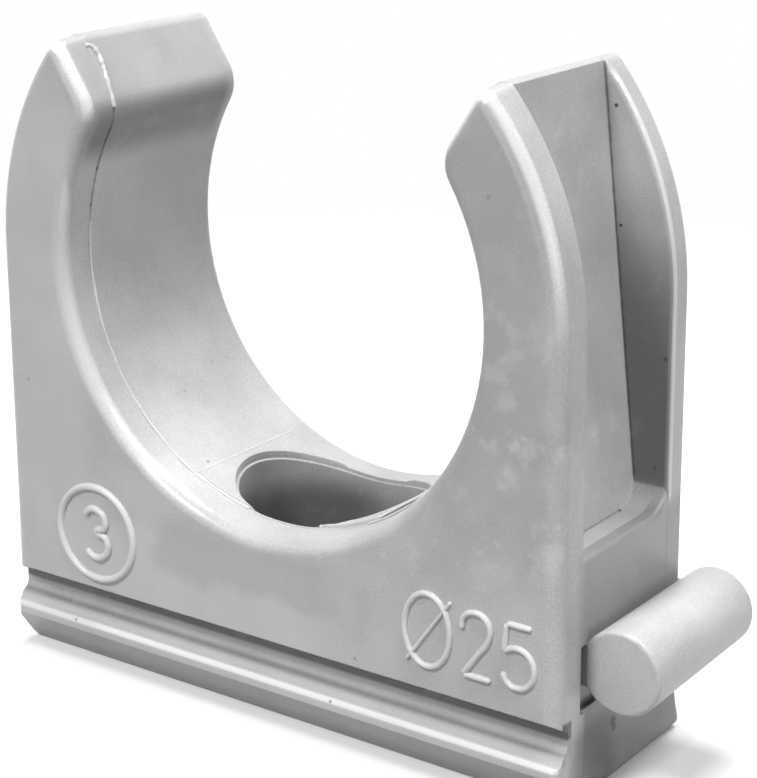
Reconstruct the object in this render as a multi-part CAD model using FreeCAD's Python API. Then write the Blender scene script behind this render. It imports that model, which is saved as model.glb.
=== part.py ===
# Snap-in conduit clip for a 25 mm conduit, moulded in one piece
# Frame: X along the wall face of the clip to the right, Y from the front face to the back, Z up
# Origin: middle of the underside of the foot

import FreeCAD, Part
import math
import os

V = FreeCAD.Vector

# conduit seat
conduit_d = 25.0
seat_r = conduit_d / 2
arm_wall = 4.7
centre_h = 22.75
outer_r = seat_r + arm_wall

# body block
body_w = 2 * outer_r
body_t = 11.8
half_w = body_w / 2
half_t = body_t / 2
front_y = -half_t
back_y = half_t

# the tool parts along a plane parallel to the front face
parting_depth = 2.0
parting_y = front_y + parting_depth

# arm tips: flat lead-in face, rounded lip and rounded ridge
lead_angle = 57.0
lead_x = 10.85
lead_dz = 8.72
lip_r = 1.9
ridge_r = 0.75

# edge rounding
front_edge_r = 0.9
back_edge_r = 0.5

# pockets that lighten the outside of the arms
web_back_t = 1.75
pocket_ledge_z = 12.25
pocket_top_x = 13.2
pocket_top_z = centre_h + 10.9
pocket_bottom_x = 15.45
pocket_corner_r = 1.4
pocket_lip_r = 0.25

# foot: groove above a rail, chamfer below
groove_top_z = 4.72
groove_depth = 0.95
groove_slope = 0.62
groove_mid_z = 3.6
groove_floor_z = 3.05
groove_bend = 0.43
rail_root_z = 2.95
rail_crest_z = 2.63
rail_top_z = 2.6
rail_nose_r = 0.35
chamfer_z = 1.95
chamfer_y = 1.4
foot_back_r = 0.4
foot_corner_r = 0.4

# screw recess in the seat: long hole with a small step under its rim, screw slot in its floor
recess_y = 0.15
recess_w = 7.94
recess_l = 10.5
recess_band = 0.2
recess_step = 0.13
recess_floor_z = 3.2
screw_slot_w = 4.6
screw_slot_l = 8.0

# coupling pin on the right end and socket on the left end
pin_reach = 1.79
pin_z = 6.94
pin_front_r = 2.09
pin_back_r = 1.99
pin_edge = 0.22
pin_gap = 0.43
pin_over = 0.4
pin_root_h = 2.1
relief_depth = 0.5
relief_bottom_z = 4.55
socket_clear = 0.13
scoop_bottom_z = 0.6
scoop_deep_z = 2.4
scoop_depth = 0.22

# how far the cutting shapes run past the faces they cut, and how deep joined shapes run into each other
over = 1.0

# closeness at which two coordinates count as equal, and the shortest edge looked for
same = 1e-6
edge_min = 0.5


def arc_point(radius, angle):
    """Point of a circle about the bore axis in the XZ plane."""
    turn = math.radians(angle)
    return V(radius * math.cos(turn), 0, centre_h + radius * math.sin(turn))


def mirrored(point):
    """The same point on the left side."""
    return V(-point.x, point.y, point.z)


def line_circle(point, angle, radius):
    """Where a line through point at angle meets the circle about the bore axis, outward side."""
    turn = math.radians(angle)
    ux = math.cos(turn)
    uz = math.sin(turn)
    px = point.x
    pz = point.z - centre_h
    b = px * ux + pz * uz
    c = px * px + pz * pz - radius * radius
    roots = [-b - math.sqrt(b * b - c), -b + math.sqrt(b * b - c)]
    near = min(roots, key=abs)
    return V(px + near * ux, 0, centre_h + pz + near * uz)


def prism(edges, y0, y1):
    """Solid from a closed XZ outline, running from y0 to y1."""
    wire = Part.Wire(Part.__sortEdges__(edges))
    face = Part.Face(wire)
    face.translate(V(0, y0, 0))
    return face.extrude(V(0, y1 - y0, 0))


def box(x0, x1, y0, y1, z0, z1):
    """Box between two corners."""
    return Part.makeBox(x1 - x0, y1 - y0, z1 - z0, V(x0, y0, z0))


def seg(a, b):
    """Straight edge."""
    return Part.LineSegment(a, b).toShape()


def arc3(a, b, c):
    """Arc edge through three points."""
    return Part.Arc(a, b, c).toShape()


def clip_outline():
    """Front view of the C-shaped body with sharp corners, as a list of edges."""
    lead = V(lead_x, 0, centre_h + lead_dz)
    lip = line_circle(lead, lead_angle, seat_r)
    ridge = line_circle(lead, lead_angle, outer_r)
    foot_r = V(half_w, 0, 0)
    foot_l = V(-half_w, 0, 0)
    hip_r = V(half_w, 0, centre_h)
    hip_l = V(-half_w, 0, centre_h)
    ridge_angle = math.degrees(math.atan2(ridge.z - centre_h, ridge.x))
    edges = []
    edges.append(seg(foot_l, foot_r))
    edges.append(seg(foot_r, hip_r))
    edges.append(arc3(hip_r, arc_point(outer_r, ridge_angle / 2), ridge))
    edges.append(seg(ridge, lip))
    edges.append(arc3(lip, arc_point(seat_r, -90), mirrored(lip)))
    edges.append(seg(mirrored(lip), mirrored(ridge)))
    edges.append(arc3(mirrored(ridge), arc_point(outer_r, 180 - ridge_angle / 2), hip_l))
    edges.append(seg(hip_l, foot_l))
    return edges


def foot_block():
    """Foot, with small rounding at its front corners and its lower edges and square rear corners."""
    block = box(-half_w, half_w, front_y, back_y, 0, groove_mid_z)
    upright = [e for e in block.Edges if upright_at(e, front_y)]
    block = block.makeFillet(foot_corner_r, upright)
    lower = []
    for edge in block.Edges:
        bounds = edge.BoundBox
        if bounds.ZMax < same and bounds.YMax > 0:
            lower.append(edge)
    return block.makeFillet(foot_back_r, lower)


def upright_at(edge, y):
    """True for a vertical edge at the given y."""
    a = edge.valueAt(edge.FirstParameter)
    b = edge.valueAt(edge.LastParameter)
    return abs(a.y - y) < same and abs(b.y - y) < same and abs(a.x - b.x) < same


def near_xz(edge, points, reach):
    """True when the middle of an edge lies close to one of the points seen from the front."""
    mid = edge.valueAt((edge.FirstParameter + edge.LastParameter) / 2)
    return any(math.hypot(mid.x - p.x, mid.z - p.z) < reach for p in points)


def along_y(edge):
    """True for a straight edge that runs front to back."""
    a = edge.valueAt(edge.FirstParameter)
    b = edge.valueAt(edge.LastParameter)
    return abs(a.x - b.x) < same and abs(a.z - b.z) < same and abs(a.y - b.y) > edge_min


def body_block():
    """C-shaped block with its rounded lips and ridges."""
    solid = prism(clip_outline(), front_y, back_y)
    lead = V(lead_x, 0, centre_h + lead_dz)
    lip = line_circle(lead, lead_angle, seat_r)
    ridge = line_circle(lead, lead_angle, outer_r)
    lips = [lip, mirrored(lip)]
    ridges = [ridge, mirrored(ridge)]
    solid = solid.makeFillet(lip_r, [e for e in solid.Edges if along_y(e) and near_xz(e, lips, lip_r)])
    solid = solid.makeFillet(ridge_r, [e for e in solid.Edges if along_y(e) and near_xz(e, ridges, ridge_r)])
    return solid


def edges_on_plane(solid, y, skip_bottom=True):
    """Edges that lie wholly in a plane of constant y."""
    found = []
    for edge in solid.Edges:
        box_e = edge.BoundBox
        if abs(box_e.YMin - y) < same and abs(box_e.YMax - y) < same:
            if skip_bottom and box_e.ZMax < same:
                continue
            found.append(edge)
    return found


def soften(solid):
    """Large soft rounding all round the front face, smaller rounding round the back."""
    solid = solid.makeFillet(front_edge_r, edges_on_plane(solid, front_y))
    return solid.makeFillet(back_edge_r, edges_on_plane(solid, back_y))


def foot_profile(side):
    """Closed YZ outline of the groove, cut from the front (side -1) or the back (side 1)."""
    face = half_t
    out = half_t + over
    neck = half_t - groove_depth
    nose = rail_top_z - rail_nose_r
    bulge = 1 - math.sqrt(0.5)
    corner = rail_nose_r * bulge
    root = neck + groove_bend
    crest = face - rail_nose_r

    def p(y, z):
        return V(0, side * y, z)

    hollow = p(neck + groove_bend * bulge, groove_floor_z + groove_bend * bulge)
    edges = []
    edges.append(seg(p(out, groove_top_z), p(face, groove_top_z)))
    edges.append(seg(p(face, groove_top_z), p(neck, groove_top_z - groove_slope)))
    edges.append(seg(p(neck, groove_top_z - groove_slope), p(neck, groove_floor_z + groove_bend)))
    edges.append(arc3(p(neck, groove_floor_z + groove_bend), hollow, p(root, rail_root_z)))
    edges.append(seg(p(root, rail_root_z), p(crest, rail_crest_z)))
    edges.append(arc3(p(crest, rail_crest_z), p(face - corner, rail_top_z - corner), p(face, nose)))
    edges.append(seg(p(face, nose), p(out, nose)))
    edges.append(seg(p(out, nose), p(out, groove_top_z)))
    return edges


def along_x(edges, x0, x1):
    """Solid from a closed YZ outline, running from x0 to x1."""
    wire = Part.Wire(Part.__sortEdges__(edges))
    face = Part.Face(wire)
    face.translate(V(x0, 0, 0))
    return face.extrude(V(x1 - x0, 0, 0))


def foot_cuts():
    """Grooves above the rails and the large chamfer under the front rail."""
    wide = half_w + over
    cuts = []
    cuts.append(along_x(foot_profile(-1), -wide, wide))
    cuts.append(along_x(foot_profile(1), -wide, wide))
    slope = chamfer_y / chamfer_z
    a = V(0, front_y, chamfer_z)
    b = V(0, front_y + chamfer_y + over * slope, -over)
    c = V(0, front_y - over, -over)
    d = V(0, front_y - over, chamfer_z)
    cuts.append(along_x([seg(a, b), seg(b, c), seg(c, d), seg(d, a)], -wide, wide))
    return cuts


def pocket(side):
    """Pocket in the outside of one arm: slanting floor, level ledge, rounded lower back corner."""
    y0 = parting_y
    y1 = back_y - web_back_t
    far = half_w + over
    slope = (pocket_bottom_x - pocket_top_x) / (pocket_ledge_z - pocket_top_z)
    top_z = centre_h + outer_r
    top_x = pocket_top_x + slope * (top_z - pocket_top_z)

    def p(x, z):
        return V(side * x, 0, z)

    outline = [p(pocket_bottom_x, pocket_ledge_z), p(far, pocket_ledge_z), p(far, top_z), p(top_x, top_z)]
    edges = []
    for i in range(len(outline)):
        edges.append(seg(outline[i], outline[(i + 1) % len(outline)]))
    solid = prism(edges, y0, y1)
    corner = [e for e in solid.Edges if level_x(e) and on_line(e, y1, pocket_ledge_z)]
    solid = solid.makeFillet(pocket_corner_r, corner)
    return solid


def pocket_lip_cuts():
    """Slivers that round the outer inner edges of the rear webs and the outer edges of the ledges."""
    y1 = back_y - web_back_t
    web = prism(clip_outline(), y1, back_y)
    outer = [e for e in edges_on_plane(web, y1) if on_outside(e)]
    sliver = web.cut(web.makeFillet(pocket_lip_r, outer))
    above = pocket_ledge_z + pocket_corner_r
    cuts = [sliver.common(box(-half_w, half_w, y1, back_y, above, centre_h + half_w))]
    for side in (1, -1):
        x = side * (half_w - pocket_lip_r)
        z = pocket_ledge_z - pocket_lip_r
        length = y1 - pocket_corner_r - parting_y
        low = min(x, side * half_w)
        strip = box(low, low + pocket_lip_r, parting_y, parting_y + length, z, pocket_ledge_z)
        round_bar = Part.makeCylinder(pocket_lip_r, length, V(x, parting_y, z), V(0, 1, 0))
        cuts.append(strip.cut(round_bar))
    return cuts


def on_outside(edge):
    """True for an edge of the front view that follows the outside of an arm."""
    p = edge.valueAt((edge.FirstParameter + edge.LastParameter) / 2)
    reach = math.hypot(p.x, p.z - centre_h) if p.z > centre_h else abs(p.x)
    return abs(reach - outer_r) < same * outer_r and p.z > over


def level_x(edge):
    """True for a straight edge that runs along X."""
    a = edge.valueAt(edge.FirstParameter)
    b = edge.valueAt(edge.LastParameter)
    return abs(a.y - b.y) < same and abs(a.z - b.z) < same and abs(a.x - b.x) > edge_min


def on_line(edge, y, z):
    """True when an edge along X lies at the given y and z."""
    a = edge.valueAt(edge.FirstParameter)
    return abs(a.y - y) < same and abs(a.z - z) < same


def long_hole(length, width, z0, z1):
    """Upright prism with half-round ends, long side along X, centred on the recess."""
    r = width / 2
    c = length / 2 - r
    solid = box(-c, c, recess_y - r, recess_y + r, z0, z1)
    solid = solid.fuse(Part.makeCylinder(r, z1 - z0, V(-c, recess_y, z0)))
    solid = solid.fuse(Part.makeCylinder(r, z1 - z0, V(c, recess_y, z0)))
    return solid.removeSplitter()


def screw_cuts():
    """Recess for the screw head with a small step under its rim, and the long screw hole."""
    top = centre_h - seat_r / 2
    band = long_hole(recess_l, recess_w, recess_floor_z + over, top)
    reach = Part.makeCylinder(seat_r + recess_band, body_t, V(0, front_y, centre_h), V(0, 1, 0))
    band = band.common(reach)
    well = long_hole(recess_l - 2 * recess_step, recess_w - 2 * recess_step, recess_floor_z, top)
    hole = long_hole(screw_slot_l, screw_slot_w, -over, recess_floor_z + over)
    return [band, well, hole]


def coupling_pin():
    """Pin along Y, moulded on to the right end over a narrow strip of its side."""
    x = half_w + pin_reach
    y0 = parting_y + pin_gap
    length = back_y + pin_over - y0
    pin = Part.makeCone(pin_front_r, pin_back_r, length, V(x, y0, pin_z), V(0, 1, 0))
    pin = pin.makeFillet(pin_edge, [e for e in pin.Edges if edge_is_circle(e)])
    half = pin_root_h / 2
    root = box(half_w - over, x - pin_back_r / 2, y0, back_y, pin_z - half, pin_z + half)
    return pin.fuse(root)


def pin_relief():
    """Step cut in the right end in front of the pin and below it."""
    top = pin_z + pin_root_h / 2
    return box(half_w - relief_depth, half_w + over, parting_y, back_y + over, relief_bottom_z, top)


def edge_is_circle(edge):
    """True for a full circular edge."""
    return edge.Curve.TypeId == "Part::GeomCircle" and edge.isClosed()


def coupling_socket():
    """Channel in the left end that takes the pin of the next clip, closed by the front wall."""
    x = -half_w + pin_reach
    y0 = parting_y + pin_gap - socket_clear
    length = back_y + over - y0
    channel = Part.makeCylinder(pin_front_r + socket_clear, length, V(x, y0, pin_z), V(0, 1, 0))
    half = pin_root_h / 2 + socket_clear
    mouth = box(-half_w - over, x, y0, back_y + over, pin_z - half, pin_z + half)
    return channel.fuse(mouth)


def end_scoop():
    """Shallow hollow across the right end of the foot, flaring out to its lower edge."""
    half = scoop_deep_z - scoop_bottom_z
    r = (half * half + scoop_depth * scoop_depth) / (2 * scoop_depth)
    y0 = parting_y + pin_gap
    x = half_w - scoop_depth
    hollow = Part.makeCylinder(r, back_y + over - y0, V(x + r, y0, scoop_deep_z), V(0, 1, 0))
    low = box(half_w - over, half_w + over, y0, back_y + over, 0, scoop_deep_z)
    upper = box(x, half_w + over, y0, back_y + over, scoop_deep_z, relief_bottom_z)
    return hollow.common(low).fuse(upper)


def build():
    """The whole clip as one solid."""
    solid = soften(body_block())
    wide = half_w + over
    deep = half_t + over
    solid = solid.cut(box(-wide, wide, -deep, deep, -over, groove_mid_z))
    solid = solid.fuse(foot_block())
    for cut in foot_cuts():
        solid = solid.cut(cut)
    solid = solid.cut(pocket(1))
    solid = solid.cut(pocket(-1))
    for cut in pocket_lip_cuts():
        solid = solid.cut(cut)
    for cut in screw_cuts():
        solid = solid.cut(cut)
    solid = solid.cut(end_scoop())
    solid = solid.cut(pin_relief())
    solid = solid.fuse(coupling_pin())
    solid = solid.cut(coupling_socket())
    return solid.removeSplitter()


os.makedirs("parts", exist_ok=True)
clip = build()
print("valid", clip.isValid(), "solids", len(clip.Solids), "volume", round(clip.Volume, 1))
print("box", clip.BoundBox)
if len(clip.Solids) == 1:
    clip = clip.Solids[0]
clip.exportStep("parts/clip_body.step")
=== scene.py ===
"""Looks of a one-piece snap-in conduit clip, moulded in light grey plastic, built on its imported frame."""

import logging
import math
from dataclasses import dataclass, field, replace
from enum import Enum
from functools import cached_property

import bmesh
import bpy
from bpy.types import Material, Mesh, Node, NodeSocket, NodeTree, Object
from mathutils import Matrix, Vector
from mathutils.bvhtree import BVHTree


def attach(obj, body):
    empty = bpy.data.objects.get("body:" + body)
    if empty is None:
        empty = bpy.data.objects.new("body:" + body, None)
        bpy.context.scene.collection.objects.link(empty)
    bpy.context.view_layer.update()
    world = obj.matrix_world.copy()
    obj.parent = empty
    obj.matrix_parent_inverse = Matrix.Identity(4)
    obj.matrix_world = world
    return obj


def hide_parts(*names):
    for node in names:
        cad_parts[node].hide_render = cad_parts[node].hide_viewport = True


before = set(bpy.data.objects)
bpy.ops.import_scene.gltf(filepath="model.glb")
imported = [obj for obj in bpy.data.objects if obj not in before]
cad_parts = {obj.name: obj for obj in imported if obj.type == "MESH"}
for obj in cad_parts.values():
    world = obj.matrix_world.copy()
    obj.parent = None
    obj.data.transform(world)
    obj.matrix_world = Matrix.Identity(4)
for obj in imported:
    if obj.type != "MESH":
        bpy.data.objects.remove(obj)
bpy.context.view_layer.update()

MM = 0.001
PHOTO_WIDTH = 757
PHOTO_HEIGHT = 778
SENSOR_WIDTH = 36.0
BODY_NODE = "clip_body"

FLOAT = "NodeSocketFloat"
VECTOR = "NodeSocketVector"
NO_VECTOR = (0.0, 0.0, 0.0)
MID_NOISE = (0.5, 0.5, 0.5)
NUMBER_OPERATIONS = ("DISTANCE", "DOT_PRODUCT", "LENGTH")

# Sizes that several parts of the script share, in millimetres.
FRONT_Y = -5.9
PARTING_Y = -3.9
SEAT_RADIUS = 12.5
SEAT_CENTRE_Z = 22.75
RECESS_CENTRE = (1.28, 0.15)

log = logging.getLogger("conduit_clip")

Point2 = tuple[float, float]
Point3 = tuple[float, float, float]
Colour = tuple[float, float, float, float]


def grey(level: float) -> Colour:
    """Returns an opaque neutral colour of the given linear level."""
    return (level, level, level, 1.0)


def to_metres(place: Point3) -> Vector:
    """Turns a place in millimetres into metres."""
    return Vector([v * MM for v in place])


def steps(first: float, last: float, count: int) -> list[float]:
    """Returns evenly spaced numbers from first to last."""
    return [first + (last - first) * i / (count - 1) for i in range(count)]


def seat_point(x: float, y: float, radius: float) -> Vector:
    """Returns the point of the curved seat at x and y, in metres, where the seat has the given radius."""
    return to_metres((x, y, SEAT_CENTRE_Z - math.sqrt(radius**2 - x * x)))


def place_object(name: str, data: bpy.types.ID) -> Object:
    """Makes an object of the given data and links it to the scene.

    Args:
        name: Name of the object.
        data: Its mesh, curve, lamp or camera.

    Returns:
        The new object.
    """
    made = bpy.data.objects.new(name, data)
    bpy.context.scene.collection.objects.link(made)
    return made


def take_mesh(source: Object, name: str) -> Mesh:
    """Keeps an object's shape with its modifiers applied, and removes the object.

    Args:
        source: The object to evaluate.
        name: Name of the mesh.

    Returns:
        The plain mesh.
    """
    bpy.context.view_layer.update()
    mesh = bpy.data.meshes.new_from_object(source.evaluated_get(bpy.context.evaluated_depsgraph_get()))
    mesh.name = name
    bpy.data.objects.remove(source)
    return mesh


def shade_smooth(mesh: Mesh, crease: float) -> None:
    """Shades a mesh smooth, with sharp edges where its faces meet at more than crease degrees."""
    mesh.polygons.foreach_set("use_smooth", [True] * len(mesh.polygons))
    mesh.set_sharp_from_angle(angle=math.radians(crease))


def finish_piece(piece: Object) -> None:
    """Fixes a finished piece to the clip's body and reports it."""
    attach(piece, "root")
    log.info("%s: %d faces", piece.name, len(piece.data.polygons))


class Ends(Enum):
    """How the two ends of a raised stroke are finished."""

    ROUNDED = 1.0
    CLOSED_LOOP = 0.0


class NodeSheet:
    """A node tree under construction, with short ways to add and wire its nodes."""

    def __init__(self, tree: NodeTree) -> None:
        """Keeps the tree that the nodes go into.

        Args:
            tree: A shader or geometry node tree.
        """
        self.tree = tree

    def add(self, kind: str, values: dict | None = None, **settings: object) -> Node:
        """Adds one node.

        Args:
            kind: Blender's type name of the node.
            values: Input socket name or index to a constant or to an output socket.
            settings: Properties of the node, such as operation.

        Returns:
            The new node.
        """
        node = self.tree.nodes.new(kind)
        for name, value in settings.items():
            setattr(node, name, value)
        for name, value in (values or {}).items():
            self.feed(node.inputs[name], value)
        return node

    def wire(self, kind: str, values: dict, **settings: object) -> NodeSocket:
        """Adds one node, as add does, and returns its first output."""
        return self.add(kind, values, **settings).outputs[0]

    def feed(self, socket: NodeSocket, value: object) -> None:
        """Wires an output into a socket, or sets the socket to a constant.

        Args:
            socket: The input to fill.
            value: An output socket or a plain value.
        """
        if isinstance(value, NodeSocket):
            self.tree.links.new(value, socket)
        else:
            socket.default_value = value

    def math(self, operation: str, first: object, second: object = 0.0) -> NodeSocket:
        """Adds a Math node.

        Args:
            operation: The node's operation, such as MULTIPLY.
            first: Constant or output for the first value.
            second: Constant or output for the second value.

        Returns:
            The node's output.
        """
        return self.wire("ShaderNodeMath", {0: first, 1: second}, operation=operation)

    def vector(self, operation: str, first: object, second: object = NO_VECTOR) -> NodeSocket:
        """Adds a Vector Math node.

        Args:
            operation: The node's operation, such as SUBTRACT.
            first: Constant or output for the first vector.
            second: Constant or output for the second vector, or for the factor of SCALE.

        Returns:
            The node's vector, or its value where the operation gives a number.
        """
        other = "Scale" if operation == "SCALE" else 1
        node = self.add("ShaderNodeVectorMath", {0: first, other: second}, operation=operation)
        return node.outputs["Value" if operation in NUMBER_OPERATIONS else "Vector"]

    def noise(self, place: NodeSocket, scale: object, detail: float, output: str = "Fac") -> NodeSocket:
        """Adds a Noise Texture node.

        Args:
            place: The coordinates.
            scale: Constant or output for the scale.
            detail: How many finer layers it has.
            output: Fac or Color.

        Returns:
            The chosen output.
        """
        values = {"Vector": place, "Scale": scale, "Detail": detail}
        return self.add("ShaderNodeTexNoise", values).outputs[output]

    def ramp(
        self, value: object, low: float, high: float, to_low: float = 0.0, to_high: float = 1.0
    ) -> NodeSocket:
        """Adds a smooth Map Range node.

        Args:
            value: Constant or output to map.
            low: Input value that gives to_low.
            high: Input value that gives to_high.
            to_low: Result at low.
            to_high: Result at high.

        Returns:
            The node's output.
        """
        values = dict(enumerate((value, low, high, to_low, to_high)))
        return self.wire("ShaderNodeMapRange", values, interpolation_type="SMOOTHSTEP")

    def mix(self, mask: object, first: object, second: object) -> NodeSocket:
        """Mixes two colours.

        Args:
            mask: Share of the second colour.
            first: Constant or output for the first colour.
            second: Constant or output for the second colour.

        Returns:
            The mixed colour.
        """
        return self.add("ShaderNodeMix", {0: mask, 6: first, 7: second}, data_type="RGBA").outputs[2]

    def group(self, tree: NodeTree, values: dict) -> bpy.types.bpy_prop_collection:
        """Places a shared group with its own values and returns its outputs."""
        return self.add("ShaderNodeGroup", values, node_tree=tree).outputs

    def seen_rays(self) -> NodeSocket:
        """Returns 1 for rays that show a surface to the camera, straight, mirrored or through glass."""
        path = self.add("ShaderNodeLightPath").outputs
        seen = self.math("MAXIMUM", path["Is Camera Ray"], path["Is Glossy Ray"])
        return self.math("MAXIMUM", seen, path["Is Transmission Ray"])


def start_tree(kind: str, name: str, inputs: dict[str, object], outputs: dict[str, str]) -> tuple:
    """Starts a shader node group or a Geometry Nodes tree.

    Args:
        kind: Blender's type name of the tree.
        name: The tree's name.
        inputs: Each input's default number or vector, or its socket type where it has no default.
        outputs: Each output's socket type.

    Returns:
        The sheet to build on, the inputs to read and the outputs to fill.
    """
    tree = bpy.data.node_groups.new(name, kind)
    for label, default in inputs.items():
        if isinstance(default, str):
            tree.interface.new_socket(label, in_out="INPUT", socket_type=default)
            continue
        socket_type = VECTOR if isinstance(default, tuple) else FLOAT
        socket = tree.interface.new_socket(label, in_out="INPUT", socket_type=socket_type)
        socket.default_value = default
    for label, socket_type in outputs.items():
        tree.interface.new_socket(label, in_out="OUTPUT", socket_type=socket_type)
    sheet = NodeSheet(tree)
    return sheet, sheet.add("NodeGroupInput").outputs, sheet.add("NodeGroupOutput").inputs


def start_material(name: str) -> tuple[Material, NodeSheet]:
    """Returns a new, empty material and the sheet of its nodes."""
    material = bpy.data.materials.new(name)
    material.use_nodes = True
    material.node_tree.nodes.clear()
    return material, NodeSheet(material.node_tree)


def start_effect(name: str, inputs: dict[str, object], outputs: dict[str, str] | None = None) -> tuple:
    """Starts a shader node group that reads the surface's coordinates.

    Args:
        name: The group's name.
        inputs: The default of each input besides Vector.
        outputs: Each output's socket type, a Mask if left out.

    Returns:
        The sheet to build on, the inputs to read and the outputs to fill.
    """
    return start_tree("ShaderNodeTree", name, {"Vector": NO_VECTOR, **inputs}, outputs or {"Mask": FLOAT})


class SurfaceEffects:
    """The shader node groups that the clip's finishes share, each built once, when first used."""

    @cached_property
    def grain(self) -> NodeTree:
        """The fine spark-eroded grain of the mould, as a height."""
        sheet, start, end = start_effect("moulded_grain", {"Scale": 9000.0, "Waviness": 0.5}, {"Height": FLOAT})
        fine = sheet.noise(start["Vector"], start["Scale"], 3.0)
        broad = sheet.noise(start["Vector"], sheet.math("MULTIPLY", start["Scale"], 0.05), 2.0)
        wave = sheet.math("MULTIPLY", broad, start["Waviness"])
        sheet.feed(end["Height"], sheet.math("ADD", fine, wave))
        return sheet.tree

    @cached_property
    def mottle(self) -> NodeTree:
        """The soft cloudiness of moulded plastic, from 0 to 1."""
        sheet, start, end = start_effect("plastic_mottle", {"Scale": 230.0, "Grit": 1.0})
        cloud = sheet.noise(start["Vector"], start["Scale"], 4.0)
        grit = sheet.noise(start["Vector"], sheet.math("MULTIPLY", start["Scale"], 45.0), 2.0)
        offset = sheet.math("MULTIPLY", sheet.math("SUBTRACT", grit, 0.5), start["Grit"])
        sheet.feed(end["Mask"], sheet.ramp(sheet.math("ADD", cloud, offset), 0.2, 0.8))
        return sheet.tree

    @cached_property
    def scuffs(self) -> NodeTree:
        """Short pale rub marks and dull blotches, as a mask."""
        sheet, start, end = start_effect("rub_marks", {"Scale": 1500.0, "Amount": 0.5})
        drawn = {"Vector": start["Vector"], "Scale": (1.0, 1.0, 3.5), "Rotation": (0.0, 0.45, 0.0)}
        streaks = sheet.wire("ShaderNodeMapping", drawn, vector_type="TEXTURE")
        streak = sheet.noise(streaks, start["Scale"], 4.0)
        patch = sheet.noise(start["Vector"], sheet.math("MULTIPLY", start["Scale"], 0.5), 5.0)
        lines = sheet.math("MULTIPLY", sheet.ramp(streak, 0.6, 0.72), sheet.ramp(patch, 0.48, 0.6))
        both = sheet.math("MAXIMUM", lines, sheet.ramp(patch, 0.52, 0.68, 0.0, 0.55))
        sheet.feed(end["Mask"], sheet.math("MULTIPLY", both, start["Amount"]))
        return sheet.tree

    @cached_property
    def unevenness(self) -> NodeTree:
        """The noises that make the borders of specks, creases and tone areas uneven."""
        outputs = {"Cloud": VECTOR, "Frayed": FLOAT, "Ragged": FLOAT}
        sheet, start, end = start_effect("unevenness", {}, outputs)
        sheet.feed(end["Cloud"], sheet.noise(start["Vector"], 420.0, 3.0, "Color"))
        sheet.feed(end["Frayed"], sheet.noise(start["Vector"], 2600.0, 3.0))
        sheet.feed(end["Ragged"], sheet.noise(start["Vector"], 7000.0, 2.0))
        return sheet.tree

    @cached_property
    def speck(self) -> NodeTree:
        """One small ragged spot round a place on the surface, as a mask."""
        sheet, start, end = start_effect("speck", {"Place": NO_VECTOR, "Radius": 0.0003, "Ragged": 0.5})
        away = sheet.vector("DISTANCE", start["Vector"], start["Place"])
        share = sheet.math("DIVIDE", away, start["Radius"])
        ragged = sheet.math("ADD", share, sheet.math("MULTIPLY", start["Ragged"], 0.7))
        sheet.feed(end["Mask"], sheet.ramp(ragged, 1.45, 0.95))
        return sheet.tree

    @cached_property
    def crease(self) -> NodeTree:
        """A ragged line between two places on the surface, as a mask for painted shade."""
        inputs = {"Start": NO_VECTOR, "End": NO_VECTOR, "Radius": 0.0001, "Frayed": 0.5}
        sheet, start, end = start_effect("crease_painted_shade", inputs)
        offset = sheet.vector("SUBTRACT", start["Vector"], start["Start"])
        line = sheet.vector("SUBTRACT", start["End"], start["Start"])
        along = sheet.vector("DOT_PRODUCT", offset, line)
        whole = sheet.vector("DOT_PRODUCT", line, line)
        share = sheet.math("MINIMUM", sheet.math("MAXIMUM", sheet.math("DIVIDE", along, whole), 0.0), 1.0)
        away = sheet.vector("DISTANCE", offset, sheet.vector("SCALE", line, share))
        ragged = sheet.math("ADD", sheet.math("DIVIDE", away, start["Radius"]), start["Frayed"])
        sheet.feed(end["Mask"], sheet.ramp(ragged, 1.6, 0.7))
        return sheet.tree

    @cached_property
    def area(self) -> NodeTree:
        """A box that fades towards its sides, unevenly where it sways, as a mask."""
        box = {"Centre": NO_VECTOR, "Half": (MM, MM, MM), "Fade": (MM, MM, MM)}
        sheet, start, end = start_effect("tone_area", {**box, "Sway": 0.0, "Cloud": MID_NOISE})
        apart = sheet.vector("ABSOLUTE", sheet.vector("SUBTRACT", start["Vector"], start["Centre"]))
        share = sheet.vector("DIVIDE", sheet.vector("SUBTRACT", start["Half"], apart), start["Fade"])
        moved = sheet.vector("SCALE", sheet.vector("SUBTRACT", start["Cloud"], MID_NOISE), start["Sway"])
        axes = sheet.add("ShaderNodeSeparateXYZ", {0: sheet.vector("ADD", moved, share)}).outputs
        across, deep, upright = (sheet.ramp(axes[i], 0.0, 1.0) for i in range(3))
        sheet.feed(end["Mask"], sheet.math("MULTIPLY", sheet.math("MULTIPLY", across, deep), upright))
        return sheet.tree


@dataclass(frozen=True)
class Speck:
    """A round mark on the plastic, in millimetres."""

    place: Point3
    radius: float
    depth: float = 1.0

    def sockets(self) -> dict[str, object]:
        """Returns the values of the speck group, in metres."""
        return {"Place": to_metres(self.place), "Radius": self.radius * MM}


@dataclass(frozen=True)
class Crease:
    """A thin dark line of painted shade in an inner corner or along an edge, in millimetres."""

    start: Point3
    end: Point3
    radius: float
    depth: float

    def sockets(self) -> dict[str, object]:
        """Returns the values of the crease group, in metres."""
        return {"Start": to_metres(self.start), "End": to_metres(self.end), "Radius": self.radius * MM}


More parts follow.
